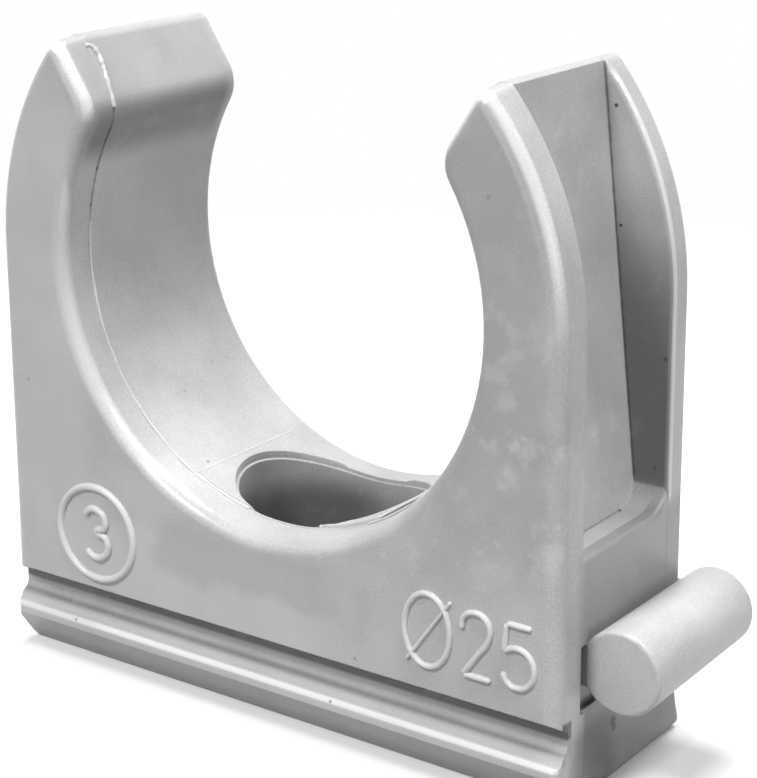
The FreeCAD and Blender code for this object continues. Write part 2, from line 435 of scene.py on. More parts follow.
@dataclass(frozen=True)
class ToneArea:
    """A soft-sided box, in millimetres, where the plastic is painted paler or darker to stand for light and
    shade, and may be glossier.
    """

    centre: Point3
    half: Point3
    fade: Point3
    depth: float
    level: float
    polish: float = 0.0
    sway: float = 0.0

    def sockets(self) -> dict[str, object]:
        """Returns the values of the area group, in metres."""
        box = {"Centre": to_metres(self.centre), "Half": to_metres(self.half), "Fade": to_metres(self.fade)}
        return {**box, "Sway": self.sway}

    def mirrored(self, axis: int) -> tuple["ToneArea", "ToneArea"]:
        """Returns the area and its mirror image.

        Args:
            axis: 0 for left and right, 1 for front and back.

        Returns:
            Both areas.
        """
        centre = tuple(-v if i == axis else v for i, v in enumerate(self.centre))
        return self, replace(self, centre=centre)


@dataclass(frozen=True)
class PlasticFinish:
    """Satin grey moulded plastic, with the marks of its mould and its handling, and any painted light and shade
    that its creases and tone areas hold.
    """

    name: str
    base: Colour
    cloudy: Colour
    rubbed: Colour
    # Colour of the real specks, and of the painted shade in the creases.
    speck_and_shade_colour: Colour = grey(0.1)
    roughness: Point2 = (0.29, 0.39)
    scuff_roughness: float = 0.12
    grain_strength: float = 0.35
    grain_depth: float = 0.02
    edge_radius: float = 0.08
    edge_samples: int = 6
    scuff_amount: float = 0.12
    refraction: float = 1.5
    specks: tuple[Speck, ...] = ()
    rubs: tuple[Speck, ...] = ()
    creases: tuple[Crease, ...] = ()
    areas: tuple[ToneArea, ...] = ()

    def build(self, effects: SurfaceEffects) -> Material:
        """Builds the material.

        Args:
            effects: The shared shader node groups.

        Returns:
            The finished material.
        """
        material, sheet = start_material(self.name)
        place = sheet.add("ShaderNodeTexCoord").outputs["Object"]
        mottle = sheet.group(effects.mottle, {"Vector": place})[0]
        uneven = sheet.group(effects.unevenness, {"Vector": place})
        at = {"Vector": place, "Ragged": uneven["Ragged"]}
        amount: object = self.scuff_amount
        for rub in self.rubs:
            spot = sheet.group(effects.speck, {**at, **rub.sockets()})[0]
            amount = sheet.math("ADD", amount, sheet.math("MULTIPLY", spot, rub.depth))
        scuffs = sheet.group(effects.scuffs, {"Vector": place, "Amount": amount})[0]
        colour = sheet.mix(mottle, self.base, self.cloudy)
        gloss: object = 0.0
        # Tone areas paint light and shade into the colour: paler for painted highlights, darker for painted
        # shade.
        for area in self.areas:
            border = {"Cloud": uneven["Cloud"]} if area.sway else {}
            spot = sheet.group(effects.area, {"Vector": place, **area.sockets(), **border})[0]
            colour = sheet.mix(sheet.math("MULTIPLY", spot, area.depth), colour, grey(area.level))
            if area.polish:
                gloss = sheet.math("ADD", gloss, sheet.math("MULTIPLY", spot, area.polish))
        colour = sheet.mix(scuffs, colour, self.rubbed)
        # Creases paint thin dark lines of shade into inner corners and along edges.
        for crease in self.creases:
            line = {"Vector": place, "Frayed": uneven["Frayed"], **crease.sockets()}
            spot = sheet.group(effects.crease, line)[0]
            colour = sheet.mix(sheet.math("MULTIPLY", spot, crease.depth), colour, self.speck_and_shade_colour)
        for speck in self.specks:
            spot = sheet.group(effects.speck, {**at, **speck.sockets()})[0]
            colour = sheet.mix(sheet.math("MULTIPLY", spot, speck.depth), colour, self.speck_and_shade_colour)
        rough = sheet.ramp(mottle, 0.0, 1.0, *self.roughness)
        rough = sheet.math("ADD", rough, sheet.math("MULTIPLY", scuffs, self.scuff_roughness))
        rough = sheet.math("SUBTRACT", rough, gloss)
        soft_edge = sheet.wire("ShaderNodeBevel", {"Radius": self.edge_radius * MM}, samples=self.edge_samples)
        grain = sheet.group(effects.grain, {"Vector": place})[0]
        relief = {"Strength": self.grain_strength, "Distance": self.grain_depth * MM, "Height": grain}
        bump = sheet.wire("ShaderNodeBump", {**relief, "Normal": soft_edge})
        looks = {"Base Color": colour, "Roughness": rough, "Normal": bump, "IOR": self.refraction}
        shader = sheet.wire("ShaderNodeBsdfPrincipled", {**looks, "Subsurface Weight": 0.0})
        sheet.add("ShaderNodeOutputMaterial", {"Surface": shader})
        return material


# Painted shade: a dark line along the upper parting line of the left arm.
LEFT_PARTING_PAINTED_SHADE = (
    Crease((-10.44, -3.93, 30.3), (-10.84, -3.93, 29.0), 0.1, 0.8),
    Crease((-10.84, -3.93, 29.0), (-11.77, -3.93, 27.0), 0.1, 0.8),
    Crease((-11.77, -3.93, 27.0), (-12.31, -3.93, 25.0), 0.09, 0.7),
    Crease((-12.31, -3.93, 25.0), (-12.52, -3.93, 22.9), 0.07, 0.6),
)
# Painted shade: dark lines in the inner corners where each rear web meets its pocket floor, and along the inner
# corner of the right ledge.
POCKET_PAINTED_SHADE = (
    Crease((13.2, 4.15, 33.6), (15.3, 4.15, 13.6), 0.14, 0.7),
    Crease((-13.2, 4.15, 33.6), (-15.3, 4.15, 13.6), 0.14, 0.7),
    Crease((15.45, -1.5, 12.27), (15.45, 2.6, 12.27), 0.08, 0.4),
)
# Painted shadow: a dark line along the front right rim of the screw recess.
RECESS_RIM_PAINTED_SHADOW = (Crease((4.5, -2.2, 11.0), (5.25, -0.6, 11.35), 0.16, 0.8),)

# Painted shade inside the screw recess, darkest towards its left end.
RECESS_PAINTED_SHADE = (
    ToneArea((0.0, 0.15, 3.2), (5.7, 4.4, 7.0), (0.3, 0.3, 1.8), 0.6, 0.2),
    ToneArea((-3.2, 0.15, 3.4), (5.0, 4.4, 7.2), (3.5, 0.3, 2.2), 0.8, 0.11),
)
# Painted shade on the inner faces of the rear webs, fading towards the top, and a painted highlight along their
# rounded outer rims.
REAR_WEB_PAINTED_LIGHT_AND_SHADE = (
    *ToneArea((15.2, 4.2, 15.0), (2.4, 0.13, 14.0), (0.6, 0.05, 7.0), 0.85, 0.16).mirrored(0),
    *ToneArea((15.5, 4.38, 22.8), (2.2, 0.17, 11.0), (0.3, 0.06, 1.0), 0.6, 0.75).mirrored(0),
)
# Painted light and shade on the groove and rail of the foot: dark shade under the overhang and on the neck and
# slope of the groove, paler rail faces, and a painted highlight along the rail's nose.
FOOT_PAINTED_LIGHT_AND_SHADE = (
    *ToneArea((0.0, -5.0, 4.2), (18.0, 0.4, 0.55), (0.6, 0.1, 0.2), 0.95, 0.04).mirrored(1),
    ToneArea((0.0, -4.95, 3.6), (18.0, 0.4, 0.9), (0.6, 0.1, 0.3), 0.25, 0.2),
    ToneArea((0.0, -5.25, 2.9), (18.0, 0.24, 0.45), (0.5, 0.14, 0.1), 0.7, 0.17),
    *ToneArea((0.0, -5.9, 1.9), (18.0, 1.2, 1.15), (0.4, 0.1, 0.1), 0.45, 0.56, 0.13).mirrored(1),
    ToneArea((0.0, -5.85, 2.45), (18.0, 0.25, 0.17), (0.5, 0.12, 0.1), 0.75, 0.8, 0.04),
)
# Painted light and shade on the front face: paler towards the lower left and up the left side, darker at the
# upper right, and a darker patch below the seat.
FRONT_FACE_PAINTED_LIGHT_AND_SHADE = (
    ToneArea((-5.0, -5.9, 6.2), (12.0, 0.5, 3.4), (5.0, 0.1, 1.5), 0.65, 0.5, sway=1.5),
    ToneArea((-15.0, -5.9, 16.0), (5.0, 0.5, 16.0), (2.5, 0.1, 4.0), 0.45, 0.47),
    ToneArea((-1.2, -5.9, 8.2), (6.5, 0.5, 1.7), (2.0, 0.1, 0.9), 0.55, 0.33, sway=2.5),
    ToneArea((12.3, -5.9, 24.5), (5.5, 0.5, 15.0), (2.5, 0.1, 6.0), 0.55, 0.27, sway=1.5),
)
# Painted highlights, with a little added gloss, on the front fillet of the seat at the left and on the outer
# front fillets of both arms.
FRONT_EDGE_PAINTED_HIGHLIGHTS = (
    ToneArea((-10.0, -5.5, 16.5), (4.3, 0.38, 9.0), (2.5, 0.15, 5.0), 0.5, 0.65, 0.04),
    *ToneArea((14.9, -5.5, 29.0), (2.7, 0.32, 7.5), (0.3, 0.14, 6.0), 0.5, 0.8, 0.05).mirrored(0),
)
# Painted shade on the right end face around and below the pin, darkest low down near the front.
RIGHT_SIDE_PAINTED_SHADE = (
    ToneArea((16.9, 1.0, 6.2), (0.45, 5.5, 6.8), (0.1, 1.0, 0.8), 0.8, 0.24),
    ToneArea((17.1, -2.4, 1.4), (0.4, 2.9, 2.9), (0.1, 1.8, 1.2), 0.65, 0.09),
)
# Painted light and shade on the lips of both arms: darker lead-in faces, a painted highlight on their front
# fillets, and dark painted shade under each lip.
LIP_PAINTED_LIGHT_AND_SHADE = (
    *ToneArea((-11.2, 0.0, 32.4), (1.9, 5.6, 1.6), (0.3, 0.8, 0.5), 0.5, 0.3).mirrored(0),
    *ToneArea((-11.4, -5.5, 31.8), (1.9, 0.34, 2.2), (0.4, 0.15, 0.8), 0.5, 0.8, 0.05).mirrored(0),
    *ToneArea((-11.0, 0.0, 29.0), (1.5, 5.5, 2.1), (0.4, 0.8, 1.8), 0.85, 0.07).mirrored(0),
)

# The body's plastic: real specks and rub marks, with the painted light and shade of the creases and tone areas
# above.
GREY_PLASTIC = PlasticFinish(
    name="grey_plastic",
    base=grey(0.36),
    cloudy=grey(0.47),
    rubbed=grey(0.6),
    speck_and_shade_colour=grey(0.05),
    specks=(
        Speck((16.98, -0.35, 2.8), 0.3),
        Speck((16.98, -0.25, 2.45), 0.22),
        Speck((13.89, 4.15, 31.65), 0.12),
        Speck((14.28, 4.15, 25.92), 0.1),
        Speck((16.86, 4.15, 19.74), 0.13, 0.6),
        Speck((16.44, 4.15, 14.17), 0.09, 0.6),
        Speck((15.48, 2.57, 12.25), 0.12, 0.8),
        Speck((13.25, -5.9, 29.04), 0.15, 0.25),
        Speck((-15.47, -5.9, 15.56), 0.12, 0.3),
        Speck((5.75, -5.9, 5.16), 0.1, 0.45),
        Speck((-6.11, -2.5, 11.85), 0.1, 0.6),
        Speck((-10.0, 2.67, 15.26), 0.12, 0.25),
        Speck((-9.4, -0.37, 14.52), 0.1, 0.25),
        Speck((4.2, -5.85, 2.43), 0.1, 0.6),
        Speck((-12.86, -5.83, 2.45), 0.1, 0.5),
    ),
    rubs=(
        Speck((14.4, -5.9, 21.0), 4.5, 0.3),
        Speck((15.9, -5.9, 15.5), 4.5, 0.45),
        Speck((10.5, -5.9, 12.0), 4.0, 0.3),
        Speck((15.0, 1.0, 15.6), 2.7, 0.45),
        Speck((13.6, 0.5, 30.0), 3.0, 0.25),
    ),
    creases=(*POCKET_PAINTED_SHADE, *RECESS_RIM_PAINTED_SHADOW, *LEFT_PARTING_PAINTED_SHADE),
    areas=(
        *RECESS_PAINTED_SHADE, *REAR_WEB_PAINTED_LIGHT_AND_SHADE, *FOOT_PAINTED_LIGHT_AND_SHADE, *FRONT_FACE_PAINTED_LIGHT_AND_SHADE,
        *FRONT_EDGE_PAINTED_HIGHLIGHTS, *RIGHT_SIDE_PAINTED_SHADE, *LIP_PAINTED_LIGHT_AND_SHADE,
    ),
)
# Paler than the body: a painted highlight on the raised strokes of the marks.
MARK_PLASTIC_PAINTED_HIGHLIGHT = PlasticFinish(
    name="mark_plastic_painted_highlight", base=grey(0.54), cloudy=grey(0.62), rubbed=grey(0.7), edge_radius=0.03
)
FLASH_PLASTIC = PlasticFinish(
    name="flash_plastic", base=grey(0.52), cloudy=grey(0.6), rubbed=grey(0.7), edge_radius=0.01
)


@dataclass(frozen=True)
class Ridge:
    """The sizes of one kind of raised ridge, in millimetres."""

    width: float
    height: float = 0.0
    spacing: float = 0.06
    ragged: float = 0.0
    wander: Point3 = NO_VECTOR
    noise_scale: float = 1500.0
    seed: float = 1.0

    def sockets(self) -> dict[str, object]:
        """Returns the values of the ridge tree, in metres; a ridge without a height stays round."""
        flatness = self.height / (self.width / 2) if self.height else 1.0
        return {
            "Width": self.width * MM,
            "Flatness": (1.0, flatness, 1.0),
            "Spacing": self.spacing * MM,
            "Ragged Width": self.ragged,
            "Wander": tuple(v * MM for v in self.wander),
            "Noise Scale": self.noise_scale,
            "Seed": self.seed,
        }


@dataclass
class RidgeTree:
    """A Geometry Nodes tree that turns a path into a low ridge of plastic."""

    sides: int = 10
    thinnest: float = 0.03
    path_detail: int = 16
    tree: NodeTree = field(init=False)

    def __post_init__(self) -> None:
        """Builds the tree."""
        shape = {"Geometry": "NodeSocketGeometry"}
        sizes = {**Ridge(width=0.25).sockets(), "Datum": NO_VECTOR, "Round Ends": 1.0}
        inputs = {**shape, **sizes, "Material": "NodeSocketMaterial"}
        sheet, pins, end = start_tree("GeometryNodeTree", "raised_ridge", inputs, shape)
        self.tree = sheet.tree
        path = {"Curve": pins["Geometry"], "Length": pins["Spacing"]}
        sampled = sheet.wire("GeometryNodeResampleCurve", path, mode="LENGTH")
        wobble = {"Scale": pins["Noise Scale"], "W": pins["Seed"], "Detail": 3.0}
        noise = sheet.add("ShaderNodeTexNoise", wobble, noise_dimensions="4D").outputs
        drift = sheet.vector("MULTIPLY", sheet.vector("SUBTRACT", noise["Color"], MID_NOISE), pins["Wander"])
        moved = sheet.wire("GeometryNodeSetPosition", {"Geometry": sampled, "Offset": drift})
        radius = self._radius(sheet, pins, noise["Fac"])
        sized = sheet.wire("GeometryNodeSetCurveRadius", {"Curve": moved, "Radius": radius})
        circle = {"Resolution": self.sides, "Radius": 1.0}
        profile = sheet.wire("GeometryNodeCurvePrimitiveCircle", circle, mode="RADIUS")
        sweep = {"Curve": sized, "Profile Curve": profile, "Scale": radius, "Fill Caps": True}
        solid = sheet.wire("GeometryNodeCurveToMesh", sweep)
        apart = sheet.vector("SUBTRACT", sheet.wire("GeometryNodeInputPosition", {}), pins["Datum"])
        pressed = sheet.vector("ADD", sheet.vector("MULTIPLY", apart, pins["Flatness"]), pins["Datum"])
        flat = sheet.wire("GeometryNodeSetPosition", {"Geometry": solid, "Position": pressed})
        real = sheet.wire("GeometryNodeRealizeInstances", {0: flat})
        smooth = sheet.wire("GeometryNodeSetShadeSmooth", {0: real})
        dressed = sheet.wire("GeometryNodeSetMaterial", {"Geometry": smooth, "Material": pins["Material"]})
        sheet.feed(end["Geometry"], dressed)

    def _radius(self, sheet: NodeSheet, pins: bpy.types.bpy_prop_collection, noise: NodeSocket) -> NodeSocket:
        """Works out the ridge's radius along the path, with domed ends and a ragged width.

        Args:
            sheet: The tree under construction.
            pins: The tree's inputs.
            noise: The noise that varies the width.

        Returns:
            The radius.
        """
        along = sheet.add("GeometryNodeSplineParameter").outputs["Length"]
        whole = sheet.add("GeometryNodeSplineLength").outputs["Length"]
        half = sheet.math("MULTIPLY", pins["Width"], 0.5)
        near_end = sheet.math("MINIMUM", along, sheet.math("SUBTRACT", whole, along))
        reached = sheet.math("MINIMUM", sheet.math("DIVIDE", near_end, half), 1.0)
        inwards = sheet.math("SUBTRACT", 1.0, reached)
        dome = sheet.math("SQRT", sheet.math("SUBTRACT", 1.0, sheet.math("MULTIPLY", inwards, inwards)))
        blunt = sheet.math("MULTIPLY", sheet.math("SUBTRACT", 1.0, dome), pins["Round Ends"])
        swell = sheet.math("MULTIPLY", sheet.math("SUBTRACT", noise, 0.5), pins["Ragged Width"])
        share = sheet.math("ADD", sheet.math("SUBTRACT", 1.0, blunt), swell)
        return sheet.math("MULTIPLY", sheet.math("MAXIMUM", share, self.thinnest), half)

    def _path(self, name: str, lines: list[list[Vector]], closed: bool) -> Object:
        """Makes a curve object of smooth lines through the given points.

        Args:
            name: Name of the object.
            lines: The points of each line, in metres.
            closed: True where every line closes on itself.

        Returns:
            The curve object, linked to the scene.
        """
        data = bpy.data.curves.new(name, "CURVE")
        data.dimensions = "3D"
        for line in lines:
            spline = data.splines.new("BEZIER")
            spline.bezier_points.add(len(line) - 1)
            spline.use_cyclic_u = closed
            spline.resolution_u = self.path_detail
            for point, place in zip(spline.bezier_points, line):
                point.co = place
                point.handle_left_type = point.handle_right_type = "AUTO"
        return place_object(name, data)

    def raise_ridge(
        self,
        name: str,
        lines: list[list[Vector]],
        size: Ridge,
        material: Material,
        datum: Point3 = NO_VECTOR,
        ends: Ends = Ends.ROUNDED,
    ) -> None:
        """Runs the tree along lines and keeps the result as a finished piece.

        Args:
            name: Name of the piece.
            lines: The points of each line, in metres.
            size: The ridge's sizes.
            material: What the ridge is made of.
            datum: A point of the face that a flattened ridge stands on, in metres.
            ends: How the ends are finished.
        """
        path = self._path(name + "_path", lines, ends is Ends.CLOSED_LOOP)
        modifier = path.modifiers.new("ridge", "NODES")
        modifier.node_group = self.tree
        values = {**size.sockets(), "Datum": datum, "Round Ends": ends.value, "Material": material}
        for socket in self.tree.interface.items_tree:
            if socket.in_out == "INPUT" and socket.name in values:
                modifier[socket.identifier] = values[socket.name]
        finish_piece(place_object(name, take_mesh(path, name)))


@dataclass
class ClipShell:
    """The moulded body, taken over from the frame with clean shading and the draft of its front half."""

    name: str = "clip_shell"
    merge: float = 0.0008
    crease: float = 24.0
    face_weight: int = 60
    step_run: float = 0.05
    step: float = 0.045
    step_reach: Point2 = (13.4, 15.4)
    draft: float = 0.11
    draft_y: float = -5.0
    foot_z: float = 4.8
    cut_near: float = 0.002
    side_x: float = 17.2
    corner_centre: Point2 = (2.75, 13.65)
    corner_radius: float = 1.4
    corner_lip: float = 0.25
    corner_segments: int = 6
    sharp_turn: float = 0.6
    flat_turn: float = 0.2
    near: float = 0.01
    touching: float = 0.001
    weld: float = 0.0004
    piece: Object = field(init=False)

    def _on_arc(self, vert: bmesh.types.BMVert) -> bool:
        """Says whether a corner of the mesh lies on the curved edge of a pocket."""
        centre_y, centre_z = self.corner_centre
        x, y, z = (v / MM for v in vert.co)
        away = math.hypot(y - centre_y, z - centre_z)
        inside = y > centre_y - self.near and z < centre_z + self.near
        on_side = abs(abs(x) - self.side_x) < self.near
        return inside and on_side and abs(away - self.corner_radius) < 2 * self.near

    def _flat_part(self, face: bmesh.types.BMFace) -> str:
        """Names the flat side, or the small flat at either end of the curved edge, that a face belongs to."""
        centre_y, centre_z = self.corner_centre
        places = [v.co / MM for v in face.verts]
        if all(abs(abs(p.x) - self.side_x) < self.touching for p in places):
            return "side"
        if any(abs(p.x) <= self.side_x - self.corner_lip - self.touching for p in places):
            return ""
        if all(abs(p.y - centre_y) < self.touching for p in places):
            return "foot"
        return "head" if all(abs(p.z - centre_z) < self.touching for p in places) else ""

    def _round_corner_lips(self, shape: bmesh.types.BMesh) -> None:
        """Rounds the outer edge of the curved corner between each rear web and its ledge.

        Args:
            shape: The body's mesh, changed in place.
        """
        parts = {face: self._flat_part(face) for face in shape.faces}
        within = [
            e for e in shape.edges if parts[e.link_faces[0]] and len({parts[f] for f in e.link_faces}) == 1
        ]
        bmesh.ops.dissolve_limit(shape, angle_limit=math.radians(self.flat_turn), verts=[], edges=within)
        edges = [
            e for e in shape.edges
            if all(self._on_arc(v) for v in e.verts) and e.calc_face_angle(0.0) > self.sharp_turn
        ]
        log.info("curved lip edges: %d", len(edges))
        bmesh.ops.bevel(
            shape,
            geom=edges,
            offset=self.corner_lip * MM,
            segments=self.corner_segments,
            profile=0.5,
            affect="EDGES",
            clamp_overlap=False,
        )
        bmesh.ops.remove_doubles(shape, verts=shape.verts, dist=self.weld * MM)

    def _draw_in_front(self, shape: bmesh.types.BMesh) -> None:
        """Gives the half in front of the parting line its draft and the small step of the mould.

        Args:
            shape: The body's mesh, changed in place.
        """
        for level in (PARTING_Y, PARTING_Y - self.step_run, self.draft_y):
            everything = list(shape.verts) + list(shape.edges) + list(shape.faces)
            bmesh.ops.bisect_plane(
                shape, geom=everything, dist=self.cut_near * MM, plane_co=(0, level * MM, 0), plane_no=(0, 1, 0)
            )
        shape.normal_update()
        near, far = self.step_reach
        moves = []
        for vert in shape.verts:
            x, y, z = (v / MM for v in vert.co)
            if y > PARTING_Y - self.step_run / 2 or z < self.foot_z:
                continue
            forward = min((PARTING_Y - y) / (PARTING_Y - self.draft_y), 1.0)
            inner = max(0.0, min(1.0, (far - abs(x)) / (far - near)))
            depth = (self.step * inner + self.draft * forward) * MM
            moves.append((vert, Vector((vert.normal.x, 0.0, vert.normal.z)) * -depth))
        for vert, move in moves:
            vert.co += move

    def build(self, material: Material) -> None:
        """Copies the frame's body as one joined mesh, shapes its fine edges and shades it.

        Args:
            material: The body's plastic.
        """
        shape = bmesh.new()
        shape.from_mesh(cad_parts[BODY_NODE].data)
        bmesh.ops.remove_doubles(shape, verts=shape.verts, dist=self.merge * MM)
        bmesh.ops.dissolve_degenerate(shape, edges=shape.edges, dist=self.merge * MM / 4)
        self._round_corner_lips(shape)
        self._draw_in_front(shape)
        corners = [tuple(v.co) for v in shape.verts]
        shape.verts.index_update()
        faces = [[v.index for v in f.verts] for f in shape.faces]
        shape.free()
        mesh = bpy.data.meshes.new(self.name)
        mesh.from_pydata(corners, [], faces)
        mesh.materials.append(material)
        shade_smooth(mesh, self.crease)
        rough = place_object(self.name + "_rough", mesh)
        weighted = rough.modifiers.new("weighted", "WEIGHTED_NORMAL")
        weighted.keep_sharp = True
        weighted.weight = self.face_weight
        self.piece = place_object(self.name, take_mesh(rough, self.name))
        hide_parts(BODY_NODE)
        finish_piece(self.piece)

    def surface(self) -> BVHTree:
        """Returns a search tree of the body's surface."""
        return BVHTree.FromObject(self.piece, bpy.context.evaluated_depsgraph_get())


@dataclass
class SeatPad:
    """The thin raised patches of the seat at the two ends of the screw recess."""

    name: str = "seat_pad"
    height: float = 0.14
    rim_share: float = 0.45
    sunk: float = 0.05
    edge: float = 0.06
    half_x: float = 5.7
    front_y: float = -3.77
    back_y: float = 4.07
    hole_radius: float = 3.98
    rows: int = 40
    columns: int = 16
    crease: float = 50.0

    def _shares(self, count: int, length: float) -> list[float]:
        """Returns even steps from 0 to 1, with one more close to either end for the rounded edge."""
        near = self.edge / length
        return [0.0, near] + [i / count for i in range(1, count)] + [1.0 - near, 1.0]

    def _end(self, side: int) -> tuple[list[Vector], list[tuple[int, ...]]]:
        """Builds the patch at one end.

        Args:
            side: 1 for the right end, -1 for the left.

        Returns:
            The corners in metres and the faces of a closed shell.
        """
        hole_x, hole_y = RECESS_CENTRE
        across = self._shares(self.rows, self.back_y - self.front_y)
        along = self._shares(self.columns, self.half_x - hole_x - self.hole_radius / 2)
        wide, deep = len(along), len(across)
        corners: list[Vector] = []
        for top in (True, False):
            for row, v in enumerate(across):
                y = self.front_y + (self.back_y - self.front_y) * v
                inner = hole_x + math.sqrt(max(self.hole_radius**2 - (y - hole_y) ** 2, 0.0))
                for column, u in enumerate(along):
                    x = inner + (self.half_x - inner) * u
                    rim = row in (0, deep - 1) or column in (0, wide - 1)
                    proud = (self.height * self.rim_share if rim else self.height) if top else -self.sunk
                    corners.append(seat_point(side * x, y, SEAT_RADIUS - proud))
        under = wide * deep
        faces: list[tuple[int, ...]] = []
        for r in range(deep - 1):
            for c in range(wide - 1):
                a = r * wide + c
                faces.append((a, a + 1, a + wide + 1, a + wide))
                faces.append((under + a, under + a + wide, under + a + wide + 1, under + a + 1))
        border = list(range(wide)) + [r * wide + wide - 1 for r in range(1, deep)]
        border += [(deep - 1) * wide + c for c in range(wide - 2, -1, -1)]
        border += [r * wide for r in range(deep - 2, 0, -1)]
        for a, b in zip(border, border[1:] + border[:1]):
            faces.append((b, a, under + a, under + b))
        return corners, faces

    def build(self, material: Material) -> None:
        """Builds both patches as one piece.

        Args:
            material: The body's plastic.
        """
        corners: list[Vector] = []
        faces: list[tuple[int, ...]] = []
        for side in (1, -1):
            more, flat = self._end(side)
            faces += [tuple(i + len(corners) for i in f) for f in flat]
            corners += more
        mesh = bpy.data.meshes.new(self.name)
        mesh.from_pydata(corners, [], faces)
        shape = bmesh.new()
        shape.from_mesh(mesh)
        bmesh.ops.recalc_face_normals(shape, faces=shape.faces)
        shape.to_mesh(mesh)
        shape.free()
        shade_smooth(mesh, self.crease)
        mesh.materials.append(material)
        finish_piece(place_object(self.name, mesh))


@dataclass
class RecessFlash:
    """The ragged skins left on the front rim of the screw recess and on the edges of its raised patches."""

    skin: Ridge = Ridge(0.24, 0.0, 0.05, ragged=1.3, wander=(0.06, 0.12, 0.05), noise_scale=1300.0, seed=12.0)
    skin_radius: float = 12.48
    hole_radius: float = 3.95
    hole_turns: Point2 = (281.0, 318.0)
    hole_end_share: float = 12.0
    edge: Ridge = Ridge(0.14, 0.0, 0.05, ragged=0.8, wander=(0.04, 0.06, 0.03), seed=17.0)
    edge_x: Point2 = (-5.75, -2.3)
    edge_y: float = -3.82
    rim: Ridge = Ridge(0.12, ragged=0.6, wander=(0.03, 0.03, 0.01), noise_scale=1200.0, seed=31.0)
    rim_radius: float = 12.39
    rim_x: float = 5.68
    rim_y: Point2 = (-3.75, 4.05)

    def _hole_point(self, degrees: float) -> Vector:
        """Returns a point of the recess's rim, in metres, at an angle of 0 on the right and 270 in front."""
        turn = math.radians(degrees)
        along = math.cos(turn)
        straight = max(-1.0, min(1.0, along * self.hole_end_share))
        x = RECESS_CENTRE[0] * straight + self.hole_radius * along
        return seat_point(x, RECESS_CENTRE[1] + self.hole_radius * math.sin(turn), self.skin_radius)

    def build(self, ridges: RidgeTree, material: Material) -> None:
        """Builds the skins.

        Args:
            ridges: The Geometry Nodes tree of the ridges.
            material: The skins' plastic.
        """
        hole = [self._hole_point(degrees) for degrees in steps(*self.hole_turns, 24)]
        ridges.raise_ridge("recess_skin", [hole], self.skin, material)
        front = [seat_point(x, self.edge_y, self.skin_radius) for x in steps(*self.edge_x, 12)]
        ridges.raise_ridge("pad_skin", [front], self.edge, material)
        along = steps(*self.rim_y, 10)
        rims = [[seat_point(x, y, self.rim_radius) for y in along] for x in (-self.rim_x, self.rim_x)]
        ridges.raise_ridge("pad_rims", rims, self.rim, material)


@dataclass
class FrontMarks:
    """The raised strokes on the front face: the size mark, and a ring with a cavity number."""

    stroke: Ridge = Ridge(0.32, 0.2, ragged=0.25)
    thin: Ridge = Ridge(0.22, 0.15, ragged=0.2, seed=3.0)
    ring: Ridge = Ridge(0.42, 0.22, ragged=0.1, seed=5.0)
    diameter_centre: Point2 = (10.02, 7.77)
    diameter_half: Point2 = (1.28, 1.84)
    slash: tuple[Point2, ...] = ((8.83, 5.98), (11.37, 9.53))
    two: tuple[Point2, ...] = (
        (11.98, 8.35), (12.1, 8.98), (12.6, 9.3), (13.2, 9.2), (13.53, 8.72), (13.45, 8.1), (12.85, 7.2),
        (12.05, 6.12),
    )
    two_foot: tuple[Point2, ...] = ((12.05, 6.1), (12.8, 6.1), (13.62, 6.1))
    five_stem: tuple[Point2, ...] = ((15.78, 9.25), (15.0, 9.25), (14.45, 9.25))
    five_back: tuple[Point2, ...] = ((14.45, 9.25), (14.38, 8.55), (14.3, 7.85))
    five_bowl: tuple[Point2, ...] = (
        (14.3, 7.85), (14.9, 8.12), (15.55, 7.95), (15.92, 7.3), (15.7, 6.5), (15.1, 6.15), (14.5, 6.32),
        (14.22, 6.8),
    )
    ring_centre: Point2 = (-11.0, 7.85)
    ring_radius: float = 2.55
    cavity: tuple[Point2, ...] = (
        (-11.75, 8.75), (-11.35, 9.15), (-10.8, 9.15), (-10.35, 8.8), (-10.4, 8.25), (-10.95, 7.98),
        (-10.35, 7.7), (-10.2, 7.1), (-10.6, 6.6), (-11.2, 6.5), (-11.75, 6.85),
    )

    @staticmethod
    def _oval(centre: Point2, half: Point2, count: int = 16) -> tuple[Point2, ...]:
        """Returns the points of an upright oval."""
        turns = [math.tau * i / count for i in range(count)]
        return tuple((centre[0] + half[0] * math.cos(t), centre[1] + half[1] * math.sin(t)) for t in turns)

    def build(self, ridges: RidgeTree, material: Material) -> None:
        """Builds every mark.

        Args:
            ridges: The Geometry Nodes tree of the ridges.
            material: The strokes' plastic.
        """
        loop, open_ends = Ends.CLOSED_LOOP, Ends.ROUNDED
        oval = self._oval(self.diameter_centre, self.diameter_half)
        ring = self._oval(self.ring_centre, (self.ring_radius, self.ring_radius), 24)
        jobs = (
            ("size_mark_oval", [oval], self.stroke, loop),
            ("size_mark_slash", [self.slash], self.thin, open_ends),
            ("size_mark_two", [self.two, self.two_foot], self.stroke, open_ends),
            ("size_mark_five", [self.five_stem, self.five_back, self.five_bowl], self.stroke, open_ends),
            ("cavity_ring", [ring], self.ring, loop),
            ("cavity_number", [self.cavity], self.ring, open_ends),
        )
        datum = (0.0, FRONT_Y * MM, 0.0)
        for name, outlines, size, ends in jobs:
            lines = [[to_metres((x, FRONT_Y, z)) for x, z in outline] for outline in outlines]
            ridges.raise_ridge(name, lines, size, material, datum, ends)


